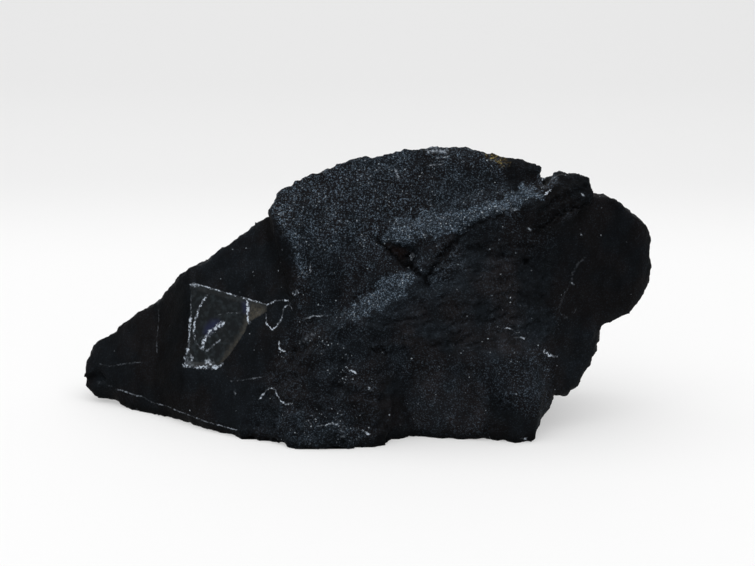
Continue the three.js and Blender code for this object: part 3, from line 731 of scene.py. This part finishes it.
# %% Lay out the veins
VEINS = {
    "first": [  # corners, half width in mm, whiteness
        # the window's top edge, the zigzag below the window and the hairline along the wing's foot
        ([(-37.6, 30.4), (-35.4, 30.7), (-33, 30.4), (-30.4, 30), (-28, 29.6), (-24.6, 29.1),
          (-22, 28.7), (-20, 28.5), (-18.9, 29.2), (-17.9, 29.8), (-15.6, 30)], 0.13, 0.9),
        ([(-21.7, 9), (-20.7, 10.2), (-19.6, 11.7), (-18.3, 11.5), (-17.6, 10.1), (-16.6, 9.2),
          (-15.6, 9), (-14.6, 9.5)], 0.15, 1.0),
        ([(-56.4, 4.1), (-55, 4.2), (-52.2, 3.9), (-49.5, 3.8), (-46.6, 2.9), (-43.6, 3),
          (-38.7, 2.7), (-34, 2.3), (-27, 1.8)], 0.12, 0.28),
        # ticks at the crown's foot, a faint line on the wing, and the bright streak in the window,
        # which is a painted highlight on the clear silica as well as a white veil
        ([(-10.5, 38.1), (-10.4, 36.6)], 0.17, 0.9),
        ([(-11.8, 26.9), (-10, 27.6), (-7, 27.7)], 0.13, 0.4),
        ([(-46, 24), (-45.9, 20.5), (-46.2, 16.5), (-46, 14.3)], 0.12, 0.07),
        ([(-34.9, 17.3), (-34.8, 19), (-33.8, 19.8), (-33.1, 20.9), (-31.9, 21.9), (-30.9, 22.7),
          (-29.9, 23.5)], 0.30, 1.3),
        # the faint line on the lobe, and ticks beside it
        ([(48.5, 39.4), (47, 38.2), (45.7, 36.1), (45.6, 33.9), (44, 31.7), (43.2, 29.5),
          (43, 28.2), (44.4, 26.4), (45.8, 26.8), (46.9, 27.9)], 0.2, 0.03),
        ([(39.7, 19.6), (41.1, 18.3), (42.7, 17.6)], 0.17, 0.9),
        ([(39.5, 53.5), (40.5, 54.2)], 0.14, 0.8),
        ([(35.8, 46.7), (36.3, 46.3)], 0.24, 1.2),
        ([(29, 50.2), (30.4, 50.4), (31.9, 50.3), (33.4, 50.8)], 0.3, 0.16),
    ],
    "second": [
        # the window's left edge
        ([(-37.6, 23.8), (-38, 21.2), (-38.1, 19.1), (-38, 17.7), (-38.3, 16.6), (-38.7, 15.3),
          (-38.9, 13.7)], 0.2, 1.0),
        ([(-37.5, 30), (-37.6, 27), (-37.6, 23.8)], 0.08, 0.2),
        # ticks in the middle, the foot of the bright streak, the loop beside the window
        ([(33.4, 23.2), (34.3, 23.1), (35.4, 22.7)], 0.18, 0.6),
        ([(31.4, 25.4), (32.9, 25)], 0.14, 0.7),
        ([(-34, 16.8), (-32.9, 17.7), (-30.8, 19.5)], 0.16, 0.25),
        ([(-16.4, 28.2), (-16.7, 26.4), (-17.8, 24.7), (-18.9, 23.7), (-20.2, 24.8),
          (-20.3, 26.6)], 0.12, 0.7),
        # the bar across the window's corner, and faint hairlines below it and on the nose
        ([(-24.5, 28.6), (-24.4, 27.3), (-24.5, 26.3), (-24.5, 24.8), (-24, 24.3)], 0.22, 1.2),
        ([(-28.3, 11.6), (-25, 12.4), (-21.5, 13.4)], 0.10, 0.11),
        ([(-60.5, 9.2), (-57.5, 9.3), (-54, 10.4), (-49.5, 11.6)], 0.12, 0.07),
    ],
    "third": [
        # the arc inside the window, a faint streak beside it, and the window's foot
        ([(-33.6, 28.9), (-34.5, 27.9), (-35.6, 26), (-36.2, 24), (-36.8, 22.5), (-36.9, 21.4),
          (-37, 20.3), (-36.8, 18.7), (-36.1, 17.9), (-35.2, 17.1)], 0.17, 1.0),
        ([(-31.3, 24.8), (-30.1, 25.3), (-28, 25.7), (-26.4, 25.9)], 0.12, 0.2),
        ([(-39.2, 13.4), (-36.5, 13.3), (-35, 13.4), (-33.4, 13.6), (-31.9, 13.6),
          (-30.2, 14.7)], 0.22, 1.0),
        # the end of the loop, and chatter marks on the crown
        ([(-16.4, 28.3), (-15.2, 29.4), (-14.6, 28.6)], 0.10, 0.5),
        ([(16.6, 59.8), (19, 60.1)], 0.12, 0.35),
        ([(14.8, 58.3), (17.4, 58.6)], 0.13, 0.3),
        ([(7.9, 57.8), (8.2, 56.2), (8.7, 55)], 0.2, 0.3),
    ],
    "strokes": [
        # chips between the window and the foot
        ([(-14.2, 32.1), (-14, 31.5)], 0.15, 0.9),
        ([(-13.5, 33.1), (-13.1, 32.3)], 0.12, 0.7),
        ([(-17.3, 21.2), (-17.2, 20), (-16.9, 19.8), (-16, 19.7)], 0.14, 0.9),
        ([(-27.4, 10.2), (-27.3, 9.4)], 0.2, 0.25),
        ([(-8.8, 5), (-7.3, 5.2), (-6, 5.9), (-4.7, 5.7)], 0.13, 0.6),
        ([(-3.9, 6.4), (-3.4, 4.4), (-3.9, 2.8)], 0.5, 0.12),
        ([(0.7, 3.9), (1.9, 3.3)], 0.2, 0.8),
        ([(-1.6, 16.9), (-0.6, 16.4)], 0.14, 0.7),
        ([(2.1, 13.5), (2.9, 12.6)], 0.18, 0.8),
        ([(-12.7, 22), (-11.3, 23.4), (-9.8, 24)], 0.3, 0.1),
        ([(-10.9, 6.2), (-10.3, 5.4)], 0.14, 0.8),
        # frost on the top edge, on the right foot's corner and on the nose
        ([(14.6, 61.2), (16.5, 61.5), (18.9, 61.3)], 0.45, 0.3),
        ([(35, 1.1), (36.3, 0.8)], 0.2, 0.5),
        ([(-61, 4.9), (-59.1, 5), (-57.6, 4.7)], 0.25, 0.04),
        # chips in the pit, on the block and on the lobe
        ([(11.2, 39.3), (11.7, 40.5)], 0.28, 0.8),
        ([(47.3, 53.3), (47.6, 53.1)], 0.12, 0.5),
        ([(45.9, 33.9), (46.1, 33.7)], 0.18, 0.9),
        ([(47.4, 44.7), (47.6, 44.5)], 0.14, 0.7),
    ],
}
NEAR = 1.1  # mm from a vein, past which its whiteness is nothing
PAST_END = 0.2  # mm by which a vein runs on past its last corners
flat_places = read_points(lump.data)[:, [0, 2]] / MM
front = on_front()
for name, lines in VEINS.items():
    closest = np.full(len(flat_places), np.inf)
    half_widths_away = np.full(len(flat_places), FAR)
    whiteness = np.zeros(len(flat_places))
    for corners, half_width, bright in lines:
        gap, side, run, length = measure_line(flat_places, corners, False)
        nearer = gap < closest
        closest = np.where(nearer, gap, closest)
        half_widths_away = np.where(nearer, side * gap / half_width, half_widths_away)
        near = (gap < NEAR) & (run > -PAST_END) & (run < length + PAST_END) & front
        whiteness = np.where(nearer, np.where(near, bright, 0.0), whiteness)
    keep("vein_" + name, half_widths_away)
    keep("white_" + name, whiteness)
    print(name, "set:", len(lines), "veins,", int((whiteness > 0).sum()), "points")

# %% [markdown]
# ## Black silica as a material
#
# Microcrystalline quartz has an index of refraction of 1.54, but this stone's break is so finely
# rough that it hardly mirrors: it looks matt, and the light that comes back is mostly from tiny
# crystal ends turned the right way. The body is near black, bluish in some places and brownish in
# others. Real glints could be made with tiny tilted mirrors, but at this size they would come out
# as noise. So each crystal end gets a random brightness of its own, and only a few are bright.

# %% Start the material, with one helper for colours and one for nodes


def linear(code):
    """An sRGB hex colour as the linear red, green, blue and alpha that Blender wants."""
    parts = [int(code[i : i + 2], 16) / 255 for i in (1, 3, 5)]
    opaque = 1.0
    return [p / 12.92 if p <= 0.04045 else ((p + 0.055) / 1.055) ** 2.4 for p in parts] + [opaque]


def add_node(tree, kind, inputs=(), out=0, **settings):
    """Adds a node and gives back one of its outputs. Inputs are values or other nodes' outputs,
    in the order of its sockets or by their names or numbers. A MapRange takes the value, the
    range that it is in and the range that it goes to."""
    node = tree.nodes.new("ShaderNode" + kind)
    for name, value in settings.items():
        setattr(node, name, value)
    for socket, value in inputs.items() if isinstance(inputs, dict) else enumerate(inputs):
        if isinstance(value, bpy.types.NodeSocket):
            tree.links.new(value, node.inputs[socket])
        elif value is not None:
            node.inputs[socket].default_value = value
    return node.outputs[out] if node.outputs else node


# The sockets of a Mix node for colours: how much, the colour below, the one above, the result.
FACTOR, UNDER, OVER, MIXED = 0, 6, 7, 2

# Quartz too fine to see, black with carbon, and broken by a blow: a dark, matt body with sparks.
stone = bpy.data.materials.new("black_silica_fracture")
stone.use_nodes = True
ink = stone.node_tree
ink.nodes.clear()
place = add_node(ink, "TexCoord", out="Object")
print("material:", stone.name)

# %% [markdown]
# ## Crystal ends and mottling
#
# The crystal ends are about a tenth of a millimetre wide. They are drawn twice as wide, because
# finer ones would blur away at this distance. A power of a random number leaves most cells dark
# and a few bright, and a noise lets the bright ones huddle. A slower noise, drawn out upwards,
# dims the glitter in patches, and a third one lets it drift from one side to the other. Each is
# made as wide as the thing on the stone that it stands for. They are patterns in space, so the
# skin needs no unwrapping and shows no seams.

# %% Draw the crystal ends
GRAIN = 0.20 * MM  # width of a crystal end as it is drawn, twice the real one
RARE = 5.6  # power of the random number: the higher it is, the fewer ends are bright
HUDDLE = 0.85 * MM  # width of a huddle of bright ends
PATCH = 2.6 * MM  # width of a dull patch
DRIFT = 9 * MM  # width of the slow changes of glitter and hue
DUST = 0.5 * MM  # width of the finest crumbs
EDGE_CHIP = 1.5 * MM  # width of the chips that make an edge ragged
cells = add_node(ink, "TexVoronoi", {"Vector": place, "Scale": 1 / GRAIN}, out="Color")
chance = add_node(ink, "SeparateColor", [cells])
crystal = add_node(ink, "Math", [chance, RARE], operation="POWER")
huddle = add_node(ink, "TexNoise", {"Vector": place, "Scale": 1 / HUDDLE, "Detail": 2.0})
huddle = add_node(ink, "MapRange", [huddle, 0.32, 0.68, 1.05, 1.8])
crystal = add_node(ink, "Math", [crystal, huddle], operation="MULTIPLY")
upright = add_node(ink, "Mapping", {"Vector": place, "Scale": (1.0, 1.0, 0.45)})
mottle = add_node(ink, "TexNoise", {"Vector": upright, "Scale": 1 / PATCH, "Detail": 3.0})
patches = add_node(
    ink, "MapRange", [mottle, 0.36, 0.66, 0.65, 1.3], interpolation_type="SMOOTHSTEP"
)
slow = add_node(ink, "TexNoise", {"Vector": place, "Scale": 1 / DRIFT, "Detail": 2.0})
drift = add_node(ink, "MapRange", [slow, 0.3, 0.7, 0.7, 1.3])
fine = add_node(
    ink, "TexNoise", {"Vector": place, "Scale": 1 / DUST, "Detail": 4.0, "Roughness": 0.65}
)
ragged = add_node(ink, "TexNoise", {"Vector": place, "Scale": 1 / EDGE_CHIP, "Detail": 4.0})
print("nodes for the crystal ends:", len(ink.nodes))

# %% [markdown]
# ## Where it glitters
#
# The two ledges glitter on their own scale. A clean outline would look as if it were cut out with
# scissors, so theirs is made ragged by noise before it is cut off. Inside it, their own light
# takes the place of the skin's glitter.

# %% Light the ledges
band_depth = add_node(ink, "Attribute", attribute_name="band", out="Fac")
band_edge = add_node(ink, "Math", [ragged, 3.4, band_depth], operation="MULTIPLY_ADD")
band = add_node(ink, "MapRange", [band_edge, 1.3, 2.1], interpolation_type="SMOOTHSTEP")
glitter = add_node(ink, "Attribute", attribute_name="glitter", out="Fac")
glitter = add_node(ink, "Math", [glitter, patches], operation="MULTIPLY")
glitter = add_node(ink, "Math", [glitter, drift], operation="MULTIPLY")
band_light = add_node(ink, "Attribute", attribute_name="ledge", out="Fac")
band_light = add_node(ink, "Math", [band_light, drift], operation="MULTIPLY")
band_patches = add_node(ink, "MapRange", [ragged, 0.35, 0.65, 0.7, 1.25])
band_light = add_node(ink, "Math", [band_light, band_patches], operation="MULTIPLY")
glitter = add_node(ink, "Mix", {FACTOR: band, "A": glitter, "B": band_light})
print("nodes up to the ledges:", len(ink.nodes))

# %% [markdown]
# ## Body colour
#
# One flat black would look like plastic. So the body drifts slowly between blue black and brown
# black, and painted shade darkens it in clefts and hollows, where little light gets in. The rock
# in the pit between the ledges is stained brown by iron. The ledges' body is a little paler too,
# under their brighter crystals.

# %% Colour the body
hue = add_node(ink, "MapRange", [slow, 0.38, 0.62], interpolation_type="SMOOTHSTEP")
body = add_node(
    ink,
    "Mix",
    {FACTOR: hue, UNDER: linear("#0a0d10"), OVER: linear("#0d0c0d")},
    out=MIXED,
    data_type="RGBA",
)
rusty = add_node(ink, "Attribute", attribute_name="rusty", out="Fac")
rusty = add_node(ink, "MapRange", [rusty, -0.6, 0.8, 0.0, 0.8], interpolation_type="SMOOTHSTEP")
body = add_node(
    ink, "Mix", {FACTOR: rusty, UNDER: body, OVER: linear("#18110f")}, out=MIXED, data_type="RGBA"
)
tone = add_node(ink, "Attribute", attribute_name="tone", out="Fac")
clouding = add_node(ink, "MapRange", [mottle, 0.3, 0.7, 0.7, 1.35])
tone = add_node(ink, "Math", [tone, clouding], operation="MULTIPLY")
cleft = add_node(ink, "Attribute", attribute_name="cleft", out="Fac")
# painted shade in clefts and hollows, for the body and its glitter
cleft_light = add_node(ink, "Math", [cleft, -0.8, 1.0], operation="MULTIPLY_ADD")
tone = add_node(ink, "Math", [tone, cleft_light], operation="MULTIPLY")
body = add_node(ink, "VectorMath", {0: body, "Scale": tone}, operation="SCALE")
shine = add_node(ink, "Math", [crystal, glitter], operation="MULTIPLY")
shine = add_node(ink, "Math", [shine, cleft_light], operation="MULTIPLY")
ground = add_node(ink, "Math", [band_light, 0.06], operation="MULTIPLY")
ground = add_node(ink, "Math", [band, ground], operation="MULTIPLY")
shine = add_node(ink, "Math", [shine, ground], operation="ADD", use_clamp=True)
skin = add_node(
    ink, "Mix", {FACTOR: shine, UNDER: body, OVER: linear("#61707f")}, out=MIXED, data_type="RGBA"
)
print("nodes up to the body:", len(ink.nodes))

# %% [markdown]
# ## White flecks, and worn and lit edges
#
# Here and there a larger crystal face or a chip of white quartz shows as a bright fleck. The
# flecks could be scattered as small meshes, but painted ones follow every bump of the skin. They
# gather in nests, along sharp edges and where the skin glitters most. Sharp edges are also rubbed
# to a pale grey, which is wear and a painted highlight along them at once.

# %% Add flecks and pale edges
FLECK = 0.25 * MM  # width of a fleck, the smallest that still shows at this distance
NEST_CLUSTER = 4.5 * MM  # width of a cluster of flecks
NO_FLECK = 0.99996  # the chance that a cell is no fleck where nothing crowds them
fleck_cells = add_node(ink, "TexVoronoi", {"Vector": place, "Scale": 1 / FLECK}, out="Color")
fleck_chance = add_node(ink, "SeparateColor", [fleck_cells])
fleck_light = add_node(ink, "SeparateColor", [fleck_cells], out=1)
fleck_light = add_node(ink, "MapRange", [fleck_light, 0.0, 1.0, 0.15, 0.85])
fleck_place = add_node(ink, "MapRange", [fine, 0.46, 0.56])
clusters = add_node(ink, "TexNoise", {"Vector": place, "Scale": 1 / NEST_CLUSTER, "Detail": 1.0})
nest_depth = add_node(ink, "Attribute", attribute_name="nests", out="Fac")
nests = add_node(
    ink, "MapRange", [nest_depth, -2.0, 1.5, 0.03, 1.0], interpolation_type="SMOOTHSTEP"
)
crowding = add_node(ink, "MapRange", [clusters, 0.42, 0.68, 0.0, 0.08])
crowding = add_node(ink, "Math", [crowding, nests], operation="MULTIPLY")
worn_and_lit = add_node(ink, "Attribute", attribute_name="worn_and_lit", out="Fac")
crowding = add_node(ink, "Math", [worn_and_lit, 0.008, crowding], operation="MULTIPLY_ADD")
sparkle = add_node(ink, "Math", [glitter, 2.0], operation="POWER")
crowding = add_node(ink, "Math", [sparkle, 0.055, crowding], operation="MULTIPLY_ADD")
limit = add_node(ink, "Math", [NO_FLECK, crowding], operation="SUBTRACT")
fleck = add_node(ink, "Math", [fleck_chance, limit], operation="GREATER_THAN")
fleck = add_node(ink, "Math", [fleck, fleck_place], operation="MULTIPLY")
fleck = add_node(ink, "Math", [fleck, fleck_light], operation="MULTIPLY")
# a pale grey on sharp edges, which is wear and a painted highlight at once
rub_and_edge_light = add_node(ink, "Math", [worn_and_lit, fine], operation="MULTIPLY")
rub_and_edge_light = add_node(ink, "MapRange", [rub_and_edge_light, 0.25, 0.75, 0.0, 0.16])
skin = add_node(
    ink, "Mix", {FACTOR: rub_and_edge_light, UNDER: skin, OVER: linear("#4a4f4d")}, out=MIXED, data_type="RGBA"
)
skin = add_node(
    ink, "Mix", {FACTOR: fleck, UNDER: skin, OVER: linear("#b4bfc9")}, out=MIXED, data_type="RGBA"
)
print("nodes up to the flecks:", len(ink.nodes))

# %% [markdown]
# ## The iron stain
#
# Water left a crust of iron on the top edge. It is ochre where it is thick and brown where it is
# thin, and it lies in spots, because it caught on the rough skin as it dried. Its outline alone
# would look like a patch of paint, so one noise frays the edge and a finer one leaves the spots.

# %% Stain the top edge
ochre_depth = add_node(ink, "Attribute", attribute_name="ochre", out="Fac")
ochre_edge = add_node(ink, "Math", [ragged, 2.2, ochre_depth], operation="MULTIPLY_ADD")
ochre = add_node(
    ink, "MapRange", [ochre_edge, 0.5, 1.8, 0.0, 0.8], interpolation_type="SMOOTHSTEP"
)
ochre_spots = add_node(ink, "MapRange", [fine, 0.40, 0.62])
ochre = add_node(ink, "Math", [ochre, ochre_spots], operation="MULTIPLY")
rust = add_node(ink, "MapRange", [fine, 0.53, 0.66], interpolation_type="SMOOTHSTEP")
rust = add_node(
    ink,
    "Mix",
    {FACTOR: rust, UNDER: linear("#33260f"), OVER: linear("#a39560")},
    out=MIXED,
    data_type="RGBA",
)
skin = add_node(
    ink, "Mix", {FACTOR: ochre, UNDER: skin, OVER: rust}, out=MIXED, data_type="RGBA"
)
print("nodes up to the stain:", len(ink.nodes))

# %% [markdown]
# ## The window of clear silica
#
# One scar on the left is clear chalcedony over black. It could be modelled as a see-through
# layer, but it is so thin that a coat over painted colour looks the same. It is as smooth as
# glass, pale where it is cloudy, smoky brown towards its lower right rim, blue where it catches
# light inside, and crushed to white quartz at its corners.

# %% Glaze the window
CLOUD = 1.1 * MM  # width of a cloud in the clear silica
CRUSHED = 0.8 * MM  # width of a piece of the crushed quartz
window_depth = add_node(ink, "Attribute", attribute_name="window", out="Fac")
window_edge = add_node(ink, "Math", [fine, 0.3, window_depth], operation="MULTIPLY_ADD")
window = add_node(ink, "MapRange", [window_edge, 0.05, 0.25])
smoky_depth = add_node(ink, "Attribute", attribute_name="smoky", out="Fac")
smoky = add_node(ink, "Math", [ragged, 1.6, smoky_depth], operation="MULTIPLY_ADD")
smoky = add_node(ink, "MapRange", [smoky, 0.1, 2.3], interpolation_type="SMOOTHSTEP")
smoke_spots = add_node(ink, "MapRange", [fine, 0.40, 0.60, 0.35, 1.0])
smoky = add_node(ink, "Math", [smoky, smoke_spots], operation="MULTIPLY")
smudge = add_node(ink, "TexNoise", {"Vector": place, "Scale": 1 / CLOUD, "Detail": 3.0})
veil = add_node(ink, "MapRange", [smudge, 0.46, 0.76, 0.0, 0.24])
clear = add_node(
    ink,
    "Mix",
    {FACTOR: veil, UNDER: linear("#0a0f12"), OVER: linear("#434e54")},
    out=MIXED,
    data_type="RGBA",
)
clear = add_node(
    ink, "Mix", {FACTOR: smoky, UNDER: clear, OVER: linear("#3d3a33")}, out=MIXED, data_type="RGBA"
)
glow_depth = add_node(ink, "Attribute", attribute_name="glow", out="Fac")
glow = add_node(
    ink, "MapRange", [glow_depth, -1.0, 0.9, 0.0, 0.5], interpolation_type="SMOOTHSTEP"
)
clear = add_node(
    ink, "Mix", {FACTOR: glow, UNDER: clear, OVER: linear("#242a4e")}, out=MIXED, data_type="RGBA"
)
frosted_depth = add_node(ink, "Attribute", attribute_name="frosted", out="Fac")
frosted = add_node(ink, "Math", [ragged, 2.0, frosted_depth], operation="MULTIPLY_ADD")
frosted = add_node(ink, "MapRange", [frosted, 0.8, 1.5])
crackle = add_node(
    ink, "TexVoronoi", {"Vector": place, "Scale": 1 / CRUSHED}, feature="DISTANCE_TO_EDGE"
)
crackle = add_node(ink, "MapRange", [crackle, 0.06, 0.16, 1.0, 0.0])
crackle = add_node(ink, "Math", [crackle, 0.45], operation="MAXIMUM")
frosted = add_node(ink, "Math", [frosted, crackle], operation="MULTIPLY")  # painted with the veins
skin = add_node(
    ink, "Mix", {FACTOR: window, UNDER: skin, OVER: clear}, out=MIXED, data_type="RGBA"
)
print("nodes up to the window:", len(ink.nodes))

# %% [markdown]
# ## Veins
#
# Each set of veins is white where its signed distance is less than about one half width. A fine
# noise makes its sides uneven, and two coarser ones break it into dots and dashes, as quartz does
# where it has partly fallen out.

# %% Draw the veins
DASH = 1.6 * MM  # length of a dash of quartz
BEAD = 0.6 * MM  # width of a bead of quartz within a dash
dashes = add_node(ink, "TexNoise", {"Vector": place, "Scale": 1 / DASH, "Detail": 3.0})
dashes = add_node(ink, "MapRange", [dashes, 0.43, 0.57, 0.12, 1.4])
beads = add_node(ink, "TexNoise", {"Vector": place, "Scale": 1 / BEAD, "Detail": 1.0})
beads = add_node(ink, "MapRange", [beads, 0.43, 0.55, 0.12, 1.1])
broken = add_node(ink, "Math", [dashes, beads], operation="MULTIPLY")
jitter = add_node(ink, "MapRange", [fine, 0.3, 0.7, -1.5, 1.5])
quartz = frosted
for name in VEINS:
    across = add_node(ink, "Attribute", attribute_name="vein_" + name, out="Fac")
    across = add_node(ink, "Math", [across, jitter], operation="ADD")
    across = add_node(ink, "Math", [across], operation="ABSOLUTE")
    line = add_node(ink, "MapRange", [across, 0.7, 1.35, 1.0, 0.0])
    strength = add_node(ink, "Attribute", attribute_name="white_" + name, out="Fac")
    line = add_node(ink, "Math", [line, strength], operation="MULTIPLY")
    quartz = add_node(ink, "Math", [quartz, line], operation="MAXIMUM")
quartz = add_node(ink, "Math", [quartz, broken], operation="MULTIPLY", use_clamp=True)
skin = add_node(
    ink, "Mix", {FACTOR: quartz, UNDER: skin, OVER: linear("#b3bdc9")}, out=MIXED, data_type="RGBA"
)
print("nodes up to the veins:", len(ink.nodes))

# %% [markdown]
# ## Gloss and fine grain
#
# The grain is too fine for the net, so a bump carries it. It nearly fades out in the window, whose
# coat is smooth. The shine of the body is set low, as a break that is rough at every scale hides
# its own mirror.

# %% Finish the stone's material
QUARTZ_IOR = 1.54
BUMP = 0.10 * MM  # height of the grain
grain = add_node(ink, "Math", [crystal, glitter], operation="MULTIPLY")
grain = add_node(ink, "Math", [fine, 1.5, grain], operation="MULTIPLY_ADD")
rough_share = add_node(ink, "Math", [window, -0.92, 1.0], operation="MULTIPLY_ADD")
grain = add_node(ink, "Math", [grain, rough_share], operation="MULTIPLY")
bump = add_node(ink, "Bump", {"Height": grain, "Strength": 1.0, "Distance": BUMP})
roughness = add_node(ink, "MapRange", [window, 0.0, 1.0, 0.60, 0.35])
coat = add_node(ink, "Math", [window, 0.22], operation="MULTIPLY")
surface = add_node(ink, "BsdfPrincipled", {
    "Base Color": skin,
    "Roughness": roughness,
    "IOR": QUARTZ_IOR,
    "Specular IOR Level": 0.03,
    "Normal": bump,
    "Coat Weight": coat,
    "Coat Roughness": 0.06,
    "Coat IOR": QUARTZ_IOR,
})
add_node(ink, "OutputMaterial", [surface])
lump.data.materials.clear()
lump.data.materials.append(stone)
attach(lump, "root")
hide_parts("stone")
print("nodes in the stone's material:", len(ink.nodes))

# %% [markdown]
# ## Paper to stand on
#
# The stone stands on a sheet of white paper on a light table. The far edge of a flat sheet would
# show as a line, so this one curves up, far enough behind the stone that the stone can be seen
# from behind as well. The sheet is a plane whose back edge is extruded upwards, and the corner
# that this leaves is bevelled to a wide bend.

# %% Sweep the paper
PAPER_WIDTH, PAPER_LENGTH, PAPER_HEIGHT = 4.0, 2.6, 1.2  # metres
PAPER_BACK = 0.8  # metres from the stone to where the sheet stands upright
CURVE = 0.3  # radius in metres of the bend between the flat and the upright part
bpy.ops.object.select_all(action="DESELECT")
bpy.ops.mesh.primitive_plane_add(size=1, location=(0, 0, 0))
floor = bpy.context.object
floor.name = "paper_sweep"
floor.scale = (PAPER_WIDTH, PAPER_LENGTH, 1)
floor.location = (0, PAPER_BACK - PAPER_LENGTH / 2, 0)
bpy.ops.object.transform_apply(location=True, rotation=True, scale=True)


def edit_back_edge():
    """Enters edit mode with only the sheet's edge that lies flat at the back selected."""
    bpy.ops.object.mode_set(mode="EDIT")
    bpy.ops.mesh.select_mode(type="EDGE")
    bpy.ops.mesh.select_all(action="DESELECT")
    bpy.ops.object.mode_set(mode="OBJECT")
    for edge in floor.data.edges:
        ends = [floor.data.vertices[v].co for v in edge.vertices]
        edge.select = all(end.y > PAPER_BACK / 2 and end.z < CURVE for end in ends)
    bpy.ops.object.mode_set(mode="EDIT")


edit_back_edge()
bpy.ops.mesh.extrude_region_move(TRANSFORM_OT_translate={"value": (0, 0, PAPER_HEIGHT)})
edit_back_edge()
bpy.ops.mesh.bevel(offset=CURVE, segments=20, affect="EDGES")
bpy.ops.object.mode_set(mode="OBJECT")
bpy.ops.object.shade_smooth()
print("paper:", [round(float(d), 2) for d in floor.dimensions])

# %% [markdown]
# ## White paper
#
# Uncoated paper is matt and scatters nearly all light. This sheet lies on a light table, so it
# gives off some light of its own, which softens the shadow under the stone. Behind the stone,
# where the table ends, the glow fades a little, and the paper's colour is darkened a little as
# painted shade. The colour is a light grey, because the glow adds to it.

# %% Make the paper glow
paper = bpy.data.materials.new("white_paper_on_light_table")
paper.use_nodes = True
sweep = paper.node_tree
sweep.nodes.clear()
TABLE_END_AND_SHADE = (0.12, 0.27)  # metres behind the stone over which the glow fades and painted shade sets in
GLOW = 0.42  # strength of the light that comes through the paper
paper_place = add_node(sweep, "TexCoord", out="Object")
behind_stone = add_node(sweep, "SeparateXYZ", [paper_place], out="Y")
# Behind the stone the glow fades, and the paper's colour is darkened a little as painted shade.
glow_fade_and_shade = add_node(
    sweep, "MapRange", [behind_stone, *TABLE_END_AND_SHADE, 1.0, 0.91], interpolation_type="SMOOTHSTEP"
)
paper_white = linear("#b6b6b6")[:3]
paper_white_painted_shade = add_node(sweep, "VectorMath", {0: paper_white, "Scale": glow_fade_and_shade}, operation="SCALE")
faded_glow = add_node(sweep, "Math", [glow_fade_and_shade, GLOW], operation="MULTIPLY")
sheet = add_node(sweep, "BsdfPrincipled", {
    "Base Color": paper_white_painted_shade,
    "Roughness": 0.9,
    "Specular IOR Level": 0.0,
    "Emission Color": linear("#ffffff"),
    "Emission Strength": faded_glow,
})
add_node(sweep, "OutputMaterial", [sheet])
floor.data.materials.append(paper)
print("nodes in the paper's material:", len(sweep.nodes))

# %% [markdown]
# ## Light
#
# A black stone is best lit in a white tent, where light comes from everywhere. A tent could be
# modelled, but it would stand in the camera's way. So one large soft box hangs over the stone, a
# weak one fills from the front, and the white air of the studio lights all the rest. The shadows
# come out faint and wide.

# %% Hang the lights


def soft_box(name, where, turn, size, watts):
    """A rectangular lamp: where it hangs, how it is turned in degrees, its two sides in metres."""
    light = bpy.data.lights.new(name, "AREA")
    light.shape = "RECTANGLE"
    light.size, light.size_y = size
    light.energy = watts
    lamp = bpy.data.objects.new(name, light)
    lamp.location = where
    lamp.rotation_euler = [radians(angle) for angle in turn]
    bpy.context.collection.objects.link(lamp)


soft_box("overhead", where=(-0.06, -0.08, 0.8), turn=(0, -4, 0), size=(1.6, 0.9), watts=6.6)
soft_box("front_fill", where=(-0.1, -0.9, 0.6), turn=(62, 0, -6), size=(0.8, 0.5), watts=0.4)
world = bpy.data.worlds.new("studio_air")
world.use_nodes = True
air = world.node_tree.nodes["Background"]
air.inputs["Color"].default_value = linear("#ffffff")
air.inputs["Strength"].default_value = 0.62
bpy.context.scene.world = world
bpy.context.scene.view_settings.view_transform = "Standard"

# %% [markdown]
# ## Camera
#
# A short telephoto lens looks slightly down on the front of the stone, from a third of a metre
# away. A wider lens from nearer by would show the stone just as large, but it would swell the
# parts that stand out towards it.

# %% Point the camera
AIM = (3.93 * MM, -2.37 * MM, 31.5 * MM)  # the middle of the picture
DISTANCE = 324.8 * MM
TILT = radians(16)  # how far it looks down
lens = bpy.data.cameras.new("camera")
lens.lens = 70
lens.sensor_width = 36
lens.clip_start = 0.01
camera = bpy.data.objects.new("camera", lens)
camera.location = (AIM[0], AIM[1] - DISTANCE * cos(TILT), AIM[2] + DISTANCE * sin(TILT))
camera.rotation_euler = (radians(90) - TILT, 0, 0)
bpy.context.collection.objects.link(camera)
bpy.context.scene.camera = camera
print("camera at", [round(float(c), 3) for c in camera.location])
